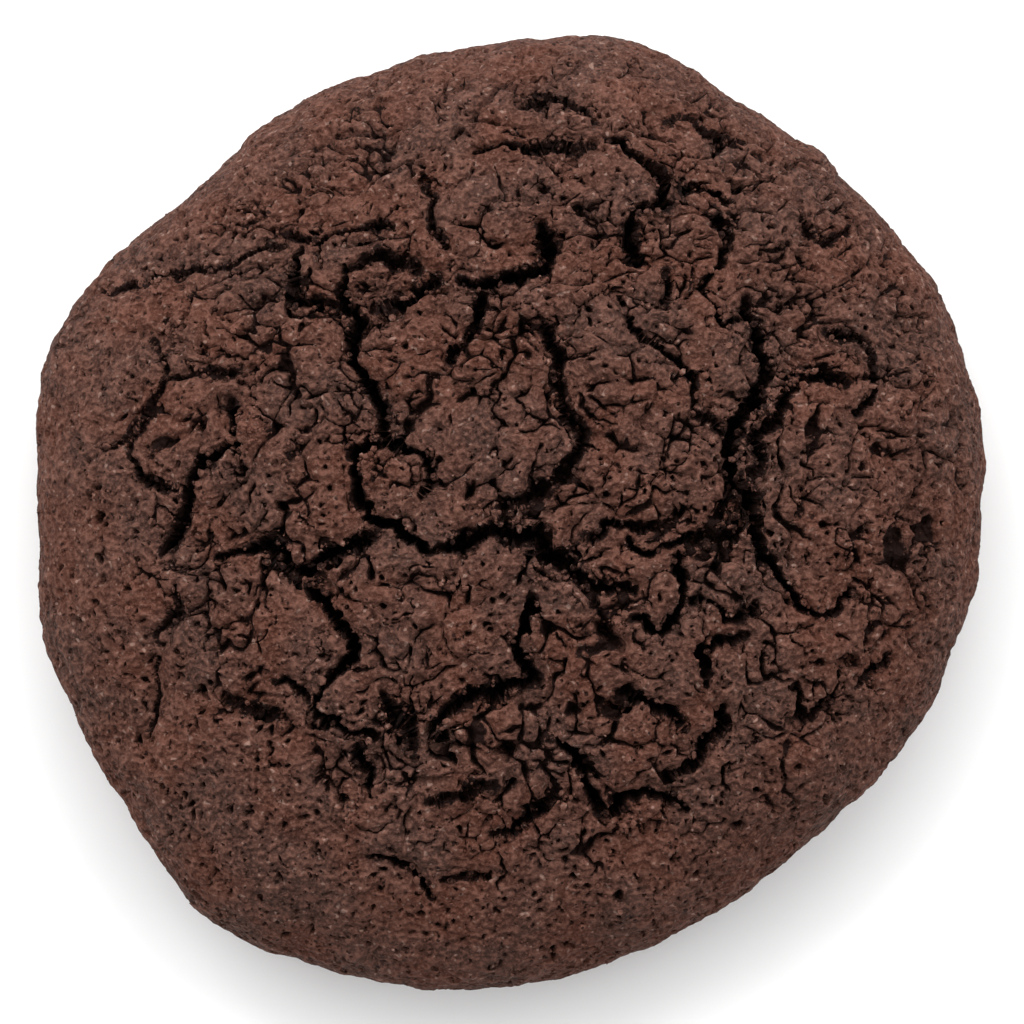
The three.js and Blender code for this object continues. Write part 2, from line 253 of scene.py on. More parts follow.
def read_normals(mesh):
    """The direction that the skin faces at each point."""
    flat = np.empty(len(mesh.vertices) * 3, np.float32)
    mesh.vertex_normals.foreach_get("vector", flat)
    return flat.reshape(-1, 3).astype(float)


# %% A modifier, applied
def apply_modifier(mesh, kind, **settings):
    """The mesh after one modifier."""
    holder = bpy.data.objects.new("holder", mesh)
    bpy.context.scene.collection.objects.link(holder)
    modifier = holder.modifiers.new(kind.title(), kind)
    for name, value in settings.items():
        setattr(modifier, name, value)
    depsgraph = bpy.context.evaluated_depsgraph_get()
    made = bpy.data.meshes.new_from_object(holder.evaluated_get(depsgraph))
    bpy.data.objects.remove(holder)
    bpy.data.meshes.remove(mesh)
    return made


def reskin(mesh, spacing):
    """The same shape with an even skin."""
    return apply_modifier(mesh, "REMESH", mode="VOXEL", voxel_size=spacing)


# %% Make the blank
blank = reskin(press_ball(), SKIN)
print("the blank has", len(blank.vertices), "points")

# %% [markdown]
# ## The fissures
# The oven breaks each cookie in its own way, and this network is what makes it this cookie. Each
# fissure is a short route of the places where it turns, seen from above, with a grade for how far
# it opened. They are the CAD solid's routes, and one faint wrinkle more, the last. Cracks drawn by
# a rule would be quicker, and a rule does make the finest ones, but it can't put the main ones
# where they are.

# %% Grades: width between the lips and depth below them, in millimetres
CANYON = (0.39, 2.8)
CRACK = (0.26, 1.7)
CREASE = (0.22, 1.2)
SLIT = (0.17, 0.8)

FISSURES = [
    (CANYON, [(-12.4, 16.6), (-12.4, 14.9), (-11.2, 13.3), (-10.9, 10.6), (-9.5, 7.6), (-8.9, 4.8)]),
    (CANYON, [(-8.9, 4.7), (-11.5, 3.7), (-11.0, 2.1), (-10.3, 0.0), (-8.5, -1.4), (-5.3, -2.9)]),
    (CANYON, [(-20.7, -3.1), (-17.0, -2.9), (-15.2, -4.9), (-12.8, -3.2), (-9.6, -1.7)]),
    (CANYON, [(-5.3, -2.9), (-3.0, -1.9), (-0.3, -1.2), (2.8, -2.8), (5.2, -5.1), (8.6, -5.7)]),
    (CANYON, [(17.0, 15.0), (18.2, 11.5), (18.2, 8.6), (16.6, 6.6), (15.6, 4.6), (17.0, 1.4)]),
    (CANYON, [(17.0, 1.4), (17.2, -0.5), (18.7, -3.4), (21.2, -7.2), (23.3, -7.5), (24.9, -6.0)]),
    (CRACK, [(2.2, 13.4), (3.6, 10.4), (4.5, 7.3), (5.0, 4.5), (2.2, 1.1), (-0.3, 0.2), (-0.4, -1.1)]),
    (CANYON, [(2.2, 20.3), (2.8, 18.9), (2.0, 17.3), (-0.3, 17.0), (-2.4, 16.2), (-3.8, 16.8)]),
    (CANYON, [(7.0, 26.8), (10.5, 24.9), (10.9, 22.4), (9.0, 21.6), (8.4, 19.8), (9.0, 17.8)]),
    (CANYON, [(-5.0, -17.2), (-5.0, -15.3), (-1.8, -13.1), (1.6, -12.2), (0.4, -9.4), (1.3, -6.8)]),
    (CANYON, [(2.9, -16.7), (5.6, -18.9), (6.5, -21.7), (8.8, -20.9), (11.2, -21.0), (13.0, -22.1)]),
    (CANYON, [(-14.8, -5.4), (-12.1, -8.4), (-11.4, -10.4), (-13.7, -13.8), (-11.8, -15.8), (-10.2, -16.5)]),
    (CANYON, [(-20.3, 7.4), (-20.1, 4.3), (-22.7, 3.2), (-23.9, -0.4), (-25.5, -3.0)]),
    (CANYON, [(12.0, -3.3), (12.4, -6.6), (11.4, -8.7), (8.8, -7.9)]),
    (CANYON, [(15.3, -14.2), (15.2, -15.8), (13.7, -17.9), (11.4, -19.6)]),
    (CANYON, [(7.8, -13.2), (10.6, -14.1), (12.9, -16.4)]),
    (CRACK, [(17.2, 1.9), (18.2, 3.6), (17.9, 5.4), (19.5, 7.2), (21.4, 9.7), (24.8, 9.3)]),
    (CREASE, [(25.3, 7.2), (26.9, 8.9), (26.4, 11.8), (25.2, 13.0), (23.3, 13.1)]),
    (CRACK, [(5.0, -2.0), (8.0, -1.2), (11.2, -0.9)]),
    (CRACK, [(8.4, -2.1), (9.7, -3.5), (12.0, -2.5), (15.6, -2.2), (16.8, -0.6)]),
    (CRACK, [(3.0, -20.6), (1.3, -22.6), (-1.7, -23.4)]),
    (CRACK, [(-8.9, 4.7), (-6.3, 4.2), (-5.9, 2.4), (-6.6, 1.0)]),
    (CRACK, [(-2.5, 16.0), (-2.3, 13.2), (-3.6, 12.0), (-3.9, 10.2)]),
    (CRACK, [(-12.5, 16.8), (-9.0, 18.3), (-6.4, 17.3)]),
    (CRACK, [(-5.2, 16.7), (-6.9, 15.0), (-9.2, 14.3)]),
    (CRACK, [(-16.3, 19.9), (-14.4, 19.2), (-12.3, 20.0), (-8.4, 20.3)]),
    (CRACK, [(-15.2, 19.0), (-15.9, 16.8), (-14.6, 14.7), (-12.6, 14.8)]),
    (SLIT, [(-25.9, 12.0), (-25.2, 9.0), (-27.9, 5.2), (-29.8, 4.4)]),
    (CRACK, [(15.3, 21.8), (15.4, 18.7), (14.0, 16.6), (14.9, 14.2), (16.8, 13.7)]),
    (CRACK, [(21.3, 21.8), (21.8, 19.9), (23.6, 19.3), (24.9, 20.6)]),
    (CRACK, [(20.6, -13.1), (21.4, -15.3), (23.2, -13.8), (23.9, -12.0)]),
    (CRACK, [(12.8, -7.1), (15.0, -6.8), (16.2, -8.4), (17.6, -7.0)]),
    (CRACK, [(17.3, -9.3), (15.3, -9.5), (13.8, -11.0), (14.2, -13.0)]),
    (CREASE, [(-24.6, -5.2), (-24.2, -7.3), (-25.9, -9.8)]),
    (CRACK, [(-17.0, -12.3), (-15.9, -11.9), (-13.8, -14.2)]),
    (CRACK, [(-11.4, -17.3), (-10.4, -19.2), (-9.8, -20.9)]),
    (CRACK, [(-9.4, -13.4), (-8.2, -15.2), (-7.2, -17.2)]),
    (CRACK, [(-10.2, -24.9), (-7.7, -25.6), (-5.7, -28.3)]),
    (CREASE, [(-25.1, 9.4), (-21.9, 9.7), (-19.3, 10.0)]),
    (CREASE, [(-28.0, 4.8), (-27.3, 2.5), (-24.2, 1.4)]),
    (CREASE, [(8.0, 14.9), (9.5, 12.4), (12.7, 9.9), (14.0, 6.9), (15.6, 5.5)]),
    (CREASE, [(11.1, 17.4), (11.4, 15.0)]),
    (CREASE, [(12.4, 23.3), (16.5, 22.7)]),
    (CREASE, [(-5.8, 23.2), (-5.7, 21.0), (-4.9, 19.2)]),
    (CREASE, [(-2.6, 26.0), (-0.6, 26.4), (3.0, 26.3), (6.0, 26.1)]),
    (CREASE, [(11.5, 29.3), (14.0, 28.6), (16.8, 27.2)]),
    (CREASE, [(0.4, 29.5), (3.6, 29.9), (6.4, 28.2)]),
    (SLIT, [(-25.9, -11.2), (-26.1, -14.2), (-26.7, -16.9)]),
    (CREASE, [(-20.3, -13.4), (-17.4, -15.3)]),
    (CREASE, [(-5.6, -21.3), (-3.6, -20.8), (-1.4, -19.5)]),
    (CREASE, [(-4.6, -27.0), (-1.6, -26.8)]),
    (CREASE, [(27.7, -10.7), (25.3, -12.8)]),
    (SLIT, [(-30.1, 15.7), (-26.4, 17.2), (-22.0, 17.4), (-16.9, 19.1)]),
]
print(len(FISSURES), "main routes")

# %% Walk a fissure
WALK_STEP = 0.6
CURVE_STEPS = 8              # how finely the curve between two turns is followed
FISSURE_FADE = 1.4           # a fissure thins out over this length at each end
FISSURE_END = 0.45           # the share of its width and depth that is left at its tip


def walk(grade, turns):
    """Even places along a smooth curve through the turns, with the half width and depth at each."""
    ends = np.array([turns[0], *turns, turns[-1]], float)
    fine = []
    for a, b, c, d in zip(ends, ends[1:], ends[2:], ends[3:]):
        rise, bend, twist = c - a, 2 * a - 5 * b + 4 * c - d, 3 * b - a - 3 * c + d
        for t in np.linspace(0, 1, CURVE_STEPS, endpoint=False):
            fine.append((2 * b + rise * t + bend * t ** 2 + twist * t ** 3) / 2)
    fine = np.array([*fine, ends[-1]])
    along = np.concatenate([[0], np.cumsum(np.linalg.norm(np.diff(fine, axis=0), axis=1))])
    stops = np.linspace(0, along[-1], max(3, round(along[-1] / WALK_STEP) + 1))
    places = np.stack([np.interp(stops, along, fine[:, k]) for k in (0, 1)], axis=1)
    to_tip = np.minimum(stops, along[-1] - stops)
    strength = FISSURE_END + (1 - FISSURE_END) * np.minimum(to_tip / FISSURE_FADE, 1)
    return places, grade[0] / 2 * strength, grade[1] * strength


# %% How deep the fissures cut
def cuts_at(plan, routes, far, width):
    """For places seen from above: how deep the routes cut there, and how far off the nearest lip is."""
    cut = np.zeros(len(plan))
    lip = np.full(len(plan), float(far))
    order = np.argsort(plan[:, 0])
    across = plan[order, 0]
    for grade, turns in routes:
        places, half, depth = walk(grade, turns)
        low, high = places.min(axis=0) - far, places.max(axis=0) + far
        near = order[np.searchsorted(across, low[0]):np.searchsorted(across, high[0])]
        near = near[(plan[near, 1] > low[1]) & (plan[near, 1] < high[1])]
        at = plan[near]
        wider = width[near]
        for i in range(len(places) - 1):
            run = places[i + 1] - places[i]
            share = np.clip((at - places[i]) @ run / (run @ run), 0, 1)
            off = np.linalg.norm(at - places[i] - share[:, None] * run, axis=1)
            wide = (half[i] + share * (half[i + 1] - half[i])) * wider
            deep = depth[i] + share * (depth[i + 1] - depth[i])
            cut[near] = np.maximum(cut[near], deep * (1 - (off / wide) ** 2))
            lip[near] = np.minimum(lip[near], np.maximum(off - wide, 0))
    return cut, lip


# %% [markdown]
# ## The breaks
# A real break is ragged: its lips wander by a few tenths of a millimetre, and it widens and narrows
# as it goes. Before the distance to a fissure is measured, each place is shifted a little by
# swells, which makes the smooth routes ragged with no more points. The plates' edges sag towards
# the fissures. The cuts stretch the skin on their walls. Making it even again would round the lips
# off and could close the narrowest cuts, so it stays as it is, under painted shade over dark moist dough.

# %% Break the crust
RAGGED = ((2.4, 0.42), (1.0, 0.2), (0.5, 0.1))      # size of the wander and how far it shifts
UNEVEN_WIDTH = ((3.0, 0.5), (1.1, 0.4))             # size and share of the changes in width
PUFF = 0.42                                         # how far a plate's middle stands above its edge
PUFF_REACH = 1.0
LIP_ROUND = 0.2                                     # the tight rounding right at a lip
FAR = 4.5                                           # lips further off than this make no difference
ROLL = ((9.0, 0.42), (4.0, 0.32))                   # size and height of the rolling of the plates
ABOVE_FLOOR = (0, WAIST_HEIGHT)                     # relief fades out between these heights
MOIST_SHADE_PAST_LIP = 0.06                                    # how far past a lip the painted shade and the moist dark dough reach


def ragged(points):
    """The points shifted by swells, seen from above."""
    plan = points[:, :2]
    shift = np.zeros_like(plan)
    for i, (size, reach) in enumerate(RAGGED):
        for axis in (0, 1):
            shift[:, axis] += reach * (2 * np.abs(swell(plan, size, salt=2 * i + axis)) - 1)
    return plan + shift


def uneven_width(points):
    """The share of its width that a fissure has at each point."""
    plan = points[:, :2]
    return 1 + sum(share * swell(plan, size, salt=8 + i) for i, (size, share) in enumerate(UNEVEN_WIDTH))


def break_crust(mesh):
    """Cuts the main fissures and puffs the plates between them."""
    points = read_points(mesh)
    normals = read_normals(mesh)
    top = np.flatnonzero(points[:, 2] > SKIN)
    at = points[top]
    edge = ease(*ABOVE_FLOOR, at[:, 2])
    cut, lip = cuts_at(ragged(at), FISSURES, FAR, uneven_width(at))
    sag = PUFF * np.exp(-lip / PUFF_REACH) + LIP_ROUND * np.exp(-lip / LIP_ROUND)
    rolling = sum(height * swell(at, size, salt=20 + i) for i, (size, height) in enumerate(ROLL))
    points[top] += ((rolling - sag - cut) * edge)[:, None] * normals[top]
    write_points(mesh, points)
    # Where painted shade, over moist dough, darkens the fissures and a little past their lips
    write_attribute(mesh, "fissure", spread(len(points), top, (1 - lip / MOIST_SHADE_PAST_LIP).clip(0) * edge))


def spread(count, rows, values):
    """Values for some of the points, and 0 for the others."""
    full = np.zeros(count, np.float32)
    full[rows] = values
    return full


def write_attribute(mesh, name, values):
    """Stores one number for each point, for the material to read."""
    attribute = mesh.attributes.new(name, "FLOAT", "POINT")
    attribute.data.foreach_set("value", values.astype(np.float32))


def read_attribute(mesh, name):
    """One of the numbers stored on the mesh's points."""
    values = np.empty(len(mesh.vertices), np.float32)
    mesh.attributes[name].data.foreach_get("value", values)
    return values


break_crust(blank)
print("share of the crust in fissures:", round(float(read_attribute(blank, "fissure").mean()), 3))

# %% [markdown]
# ## Slits and stray cracks
# Finer slits run beside the main fissures. The ones that show clearly are placed where they are.
# Between them the plates carry two hundred short stray cracks, which would be tedious to place and
# say nothing about this cookie, so a rule scatters them: each walks a few steps, and turns a little
# at each. Past the crown's far edge the crust wrinkled as it sank, so the walks there run across.

# %% Placed slits
SLITS = [
    (SLIT, [(-33.4, 9.6), (-33.0, 11.6), (-31.6, 14.0), (-29.6, 16.2)]),
    (CREASE, [(-19.0, -2.1), (-17.2, -2.0), (-16.8, -3.6), (-15.0, -5.0)]),
    (SLIT, [(-14.4, -2.7), (-12.2, -2.8)]),
    (CREASE, [(-20.7, -3.2), (-21.5, -2.1), (-23.0, -1.4)]),
    (SLIT, [(-5.9, -2.8), (-5.1, -4.2)]),
    (SLIT, [(-6.6, -12.7), (-6.0, -14.0), (-5.5, -14.8)]),
    (CRACK, [(19.9, -8.8), (20.9, -10.2), (21.1, -10.7)]),
    (SLIT, [(13.0, -1.8), (15.0, -0.8), (16.4, -0.1)]),
    (SLIT, [(24.9, -2.0), (23.5, -1.9)]),
    (SLIT, [(26.9, 0.0), (26.8, 1.0), (25.8, 2.2)]),
    (SLIT, [(9.2, 10.6), (12.0, 10.1)]),
    (SLIT, [(9.4, 14.9), (12.3, 14.8)]),
    (SLIT, [(21.1, 17.3), (21.0, 16.3), (21.3, 15.4), (20.6, 14.0)]),
    (SLIT, [(20.3, 25.7), (21.2, 25.4)]),
    (SLIT, [(16.3, 21.7), (19.0, 21.1)]),
    (SLIT, [(16.6, 18.9), (19.0, 19.0)]),
    (SLIT, [(25.8, 16.8), (25.8, 15.0)]),
    (SLIT, [(6.0, 19.6), (7.3, 20.2)]),
    (SLIT, [(6.2, 29.5), (6.3, 28.3)]),
    (CRACK, [(2.0, 24.9), (3.6, 24.4), (4.2, 24.6)]),
    (SLIT, [(-2.5, 25.5), (-3.6, 24.2), (-6.4, 23.2)]),
    (SLIT, [(-0.8, 14.7), (0.8, 14.7), (1.9, 14.2), (1.2, 13.6)]),
    (SLIT, [(-17.3, 13.2), (-15.5, 13.0), (-14.1, 13.6)]),
    (SLIT, [(-18.6, 11.4), (-17.6, 12.6)]),
    (CREASE, [(-17.2, 9.6), (-16.2, 8.6), (-17.0, 7.0)]),
    (CREASE, [(-19.0, 6.2), (-17.1, 6.3)]),
    (SLIT, [(-15.3, 5.4), (-14.6, 4.5)]),
    (SLIT, [(-15.3, 3.2), (-14.8, 2.6)]),
    (SLIT, [(-28.8, -2.4), (-26.5, -1.9)]),
    (SLIT, [(-25.4, -3.4), (-23.3, -4.1)]),
    (SLIT, [(-23.3, -8.2), (-21.8, -9.0), (-20.0, -8.5)]),
    (SLIT, [(-17.5, -7.6), (-18.3, -9.8), (-19.1, -9.8)]),
    (SLIT, [(-17.5, -16.2), (-16.2, -16.1)]),
    (SLIT, [(-9.0, -8.0), (-7.2, -7.5), (-6.9, -6.8)]),
    (SLIT, [(-9.5, -10.9), (-7.6, -10.3)]),
    (SLIT, [(-13.3, -16.5), (-13.4, -18.2)]),
    (SLIT, [(-8.6, -19.3), (-6.6, -19.0)]),
    (SLIT, [(-12.0, -20.3), (-11.3, -22.2), (-9.3, -23.1), (-8.8, -22.6)]),
    (SLIT, [(-2.9, -24.2), (-2.0, -25.5)]),
    (SLIT, [(-5.1, -22.8), (-6.0, -24.4)]),
    (SLIT, [(-4.8, -24.9), (-3.5, -24.8)]),
    (SLIT, [(-17.2, -25.2), (-15.8, -26.5)]),
    (SLIT, [(3.2, -22.6), (5.2, -22.5)]),
    (SLIT, [(-2.6, -20.8), (-0.8, -21.6)]),
    (SLIT, [(12.2, -24.0), (14.2, -23.5)]),
    (SLIT, [(13.2, -25.7), (15.6, -24.8)]),
    (SLIT, [(16.0, -20.2), (16.8, -21.8)]),
    (SLIT, [(15.0, -16.2), (16.8, -17.3), (18.0, -16.6)]),
    (SLIT, [(17.2, -13.2), (17.4, -14.2)]),
    (SLIT, [(19.3, -17.9), (19.8, -19.4)]),
    (SLIT, [(11.2, -27.5), (12.0, -27.0)]),
    (SLIT, [(3.3, -17.5), (1.6, -18.5), (1.0, -18.0)]),
]

# %% Stray cracks by rule
CRACKED_MIDDLE = (3.2, 3.4)      # the cracked part is a circle, and the skirt outside it is smooth
CRACKED_REACH = 29.5
CRACKED_FADE = 3
STRAY_CRACKS = 200
STRAY_WIDTH = (0.22, 0.44)
STRAY_DEPTH = (0.6, 1.3)
STRAY_STEPS = (2, 8)
STRAY_STEP = (0.3, 0.8)
STRAY_TURN = 0.9                 # usual turn at each step, in radians
WRINKLED_FROM = 8.0              # past here, towards +Y, the cracks run across
WRINKLE_PULL = 0.35
WRINKLED_MORE = 0.7              # how much closer the plates' edges lie there


def stray_crack():
    """One short crack that starts anywhere in the cracked part and wanders."""
    angle, reach = rng.uniform(0, 2 * math.pi), CRACKED_REACH * math.sqrt(rng.random())
    place = np.array(CRACKED_MIDDLE) + reach * np.array([math.cos(angle), math.sin(angle)])
    heading = rng.uniform(0, 2 * math.pi)
    across = WRINKLE_PULL if place[1] > WRINKLED_FROM else 1
    turns = [place]
    for _ in range(rng.integers(*STRAY_STEPS)):
        step = np.array([math.cos(heading), across * math.sin(heading)])
        turns.append(turns[-1] + rng.uniform(*STRAY_STEP) * step)
        heading += rng.normal(0, STRAY_TURN)
    size = rng.random() ** 2
    width = STRAY_WIDTH[0] + size * (STRAY_WIDTH[1] - STRAY_WIDTH[0])
    depth = STRAY_DEPTH[0] + size * (STRAY_DEPTH[1] - STRAY_DEPTH[0])
    return (width, depth), turns


stray_cracks = [stray_crack() for _ in range(STRAY_CRACKS)]
print(len(SLITS), "placed slits and", len(stray_cracks), "stray cracks")

# %% [markdown]
# ## Pores and pits
# Steam leaves by pores: thousands of small holes, most under half a millimetre wide, closest
# together where the crust is smooth. A hole is cut by finding the points of the skin round its
# middle and sinking them. The points are sorted into small boxes first, so that each hole looks
# only into the boxes round it. A loop over all the points for every hole would take hours.

# %% Points near places
HOLE_LENGTH = 3.0        # the longest hole, for its width


def points_near(points, places, reach):
    """Every pair of a point and a place that are within reach: their row numbers and the way between."""
    def box_number(cells):
        return cells @ np.array([1, 4_096, 16_777_216])

    cells = np.floor(points / reach).astype(np.int64)
    number = box_number(cells)
    order = np.argsort(number)
    number = number[order]
    homes = np.floor(places / reach).astype(np.int64)
    point_rows, place_rows = [], []
    for step in itertools.product((-1, 0, 1), repeat=3):
        wanted = box_number(homes + step)
        first = np.searchsorted(number, wanted, "left")
        count = np.searchsorted(number, wanted, "right") - first
        rows = np.repeat(np.arange(len(places)), count)
        within = np.arange(len(rows)) - np.repeat(np.cumsum(count) - count, count)
        point_rows.append(order[np.repeat(first, count) + within])
        place_rows.append(rows)
    point_rows, place_rows = np.concatenate(point_rows), np.concatenate(place_rows)
    offset = points[point_rows] - places[place_rows]
    close = (offset ** 2).sum(axis=1) < reach ** 2
    return point_rows[close], place_rows[close], offset[close]


# %% Sink holes
def holes(points, places, radius, depth):
    """How deep long holes sink each point, and how far inside a hole it is, from 0 to 1."""
    point_rows, place_rows, offset = points_near(points, places, HOLE_LENGTH * radius.max())
    length = 1 + (HOLE_LENGTH - 1) * rng.random(len(places))
    axis = rng.normal(size=(len(places), 3))
    axis /= np.linalg.norm(axis, axis=1)[:, None]
    along = (offset * axis[place_rows]).sum(axis=1)
    off = (offset ** 2).sum(axis=1) - along ** 2 * (1 - 1 / length[place_rows] ** 2)
    inside = 1 - off / radius[place_rows] ** 2
    sunk = np.zeros(len(points))
    np.maximum.at(sunk, point_rows, depth[place_rows] * np.sqrt(inside.clip(0)))
    mask = np.zeros(len(points))
    np.maximum.at(mask, point_rows, inside.clip(0))
    return sunk, mask


# %% Where the pits are: x, y, width and depth in millimetres
PITS = [
    (0.0, -17.2, 1.6, 2.2), (7.4, -8.8, 1.4, 2.2), (8.4, -13.6, 1.5, 2.2), (-16.3, 0.3, 1.0, 1.8),
    (-22.2, 6.1, 0.9, 1.5), (-18.0, 15.2, 0.9, 1.5), (-22.1, -12.9, 0.9, 1.5), (-2.7, 1.6, 1.0, 1.6),
    (22.0, 6.1, 1.1, 1.5), (21.0, 25.4, 1.1, 1.4), (16.8, -22.9, 1.0, 1.4), (-11.8, -20.6, 1.0, 1.4),
    (24.9, -11.0, 1.4, 1.2), (8.2, -27.8, 1.0, 1.2), (-29.7, -0.4, 0.7, 1.0), (-29.7, -3.3, 0.6, 0.9),
    (-29.9, 1.8, 0.6, 0.9), (5.7, -27.1, 0.7, 1.0), (7.6, -30.2, 0.6, 0.8), (4.5, -31.7, 0.6, 0.8),
    (21.1, -18.6, 0.7, 1.0), (21.0, -21.4, 0.6, 0.9), (23.2, -20.9, 0.6, 0.9), (1.4, 11.2, 0.7, 1.0),
    (-0.4, 11.2, 0.7, 1.0), (-1.0, -6.3, 0.6, 0.9), (-2.8, -6.0, 0.6, 0.9), (9.0, 9.4, 0.7, 1.0),
    (22.8, -1.0, 0.7, 1.0), (22.8, -10.9, 0.7, 1.0), (30.8, 9.4, 0.7, 0.9), (27.6, 18.2, 0.7, 0.9),
    (21.3, 18.4, 0.7, 1.0), (9.0, 18.2, 0.8, 1.1), (-3.5, 27.4, 0.6, 0.9), (-5.9, 23.5, 0.7, 1.0),
    (2.5, 23.2, 0.8, 1.0), (7.6, -16.6, 0.7, 1.0), (-13.3, -15.2, 0.9, 1.3), (-11.2, -10.5, 1.0, 1.4),
    (6.0, -5.7, 1.0, 1.5), (-2.6, -19.7, 0.6, 0.9), (5.9, 14.5, 0.6, 0.9),
]

# %% Where the crust is rough and open: x, y and reach in millimetres
ROUGH = [
    (-19.0, 21.4, 1.8), (-25.3, 16.7, 1.3), (-24.3, 13.2, 1.2), (-14.0, 23.7, 1.2), (-9.8, 3.3, 1.6),
    (-16.0, 4.4, 1.5), (-19.0, 5.5, 1.4), (-15.5, -3.5, 1.3), (-4.1, -5.0, 1.3), (2.5, -4.5, 1.6),
    (5.0, -5.4, 1.7), (8.1, -8.0, 1.5), (16.7, 3.7, 1.6), (18.4, 7.1, 1.2), (16.8, -1.8, 1.1),
    (18.0, -4.7, 1.3), (19.0, -6.3, 1.3), (21.2, 9.2, 1.2), (12.7, 25.8, 1.5), (16.2, 12.0, 1.2),
    (25.0, -11.0, 1.2), (8.5, -22.4, 1.3), (4.4, -20.5, 1.3), (0.0, 21.5, 1.6), (-11.5, -21.8, 1.2),
]
print(len(PITS), "pits and", len(ROUGH), "rough patches")

# %% [markdown]
# ## The crumb
# Up close the crust is a crowd of small lumps that meet in creases. Here the skin moves along the
# way it faces, so that the lumps and pores run down the walls of the fissures too. In the rough
# patches the skin tore off as the cookie rose, and the open crumb shows. Between the fissures the
# skin also broke into small plates that shifted against each other. A rule lays them out as cells
# round scattered seeds, bends their edges and opens those only here and there. The underside
# keeps shallow pits, from steam that was caught against the tray.

# %% Give the crust its crumb
CRUMB = ((2.6, 0.26), (1.2, 0.16), (0.55, 0.08))    # size and height of the lumps
OPEN_CRUMB = ((1.0, 0.8), (0.5, 0.45))              # the same in the rough patches
OPEN_SUNK = 0.45
SMALL_PLATES = (          # size; half width, depth and sag of their cracks; step from plate to plate
    (5.0, 0.15, 1.0, 0.55, 0.5),
    (2.7, 0.11, 0.8, 0.38, 0.3),
)
PLATES_SHOW = (-0.35, 0.25)                         # a swell's heights between which they come up
PLATES_OPEN = (-0.35, 0.3)                          # and between which their cracks open
NARROWED = 0.4                                      # the width that is left where a crack closes
FLATTENED = 0.25                                    # the sag that is left where no plates show
CRACK_BREAKS = 1.3                                  # size of the gaps along those cracks
PLATE_SAG = 0.17                                    # reach of that sag, as a share of the plate's size
PLATE_WARP = ((2.6, 1.0), (1.1, 0.36), (0.45, 0.09))    # size and reach of the bends in their edges
PORES_FOR_MM2 = 1.0
PORE_RADIUS = (0.085, 0.22)
PORE_DEPTH = (0.35, 0.8)
SHAKE = ((0.7, 0.16), (0.3, 0.1))                   # size and reach of the wobble in a hole's rim
UNDERSIDE_PITS = 260
UNDERSIDE_RADIUS = (0.14, 0.5)
UNDERSIDE_DEPTH = 1.2                               # for each pit's radius
IN_FISSURES = 0.6                                   # share of the crumb that is missing in fissures
FINE_FAR = 0.5                                      # slits further off than this make no difference
TORN = 0.6                                          # how open a rough patch is on the whole
TORN_SIZE = 0.8                                     # size of the changes in that
DARK_SLIT = 0.35                                    # a slit this deep gets the full painted shade and moist dark
TALL_CRUMB = 0.3                                    # a lump this high is as pale as they get, from dry dough and painted highlight


def warp(points, bends, salt):
    """The points shifted in space by swells of these sizes and reaches."""
    shifted = points.copy()
    for i, (size, reach) in enumerate(bends):
        for axis in range(3):
            shifted[:, axis] += reach * swell(points, size, salt=salt + 3 * i + axis)
    return shifted


def near_patches(points, patches):
    """1 in the middle of each round patch and 0 outside, with a soft edge."""
    mask = np.zeros(len(points))
    for x, y, reach in patches:
        off = np.hypot(points[:, 0] - x, points[:, 1] - y)
        mask = np.maximum(mask, 1 - ease(0.5 * reach, reach, off))
    return mask


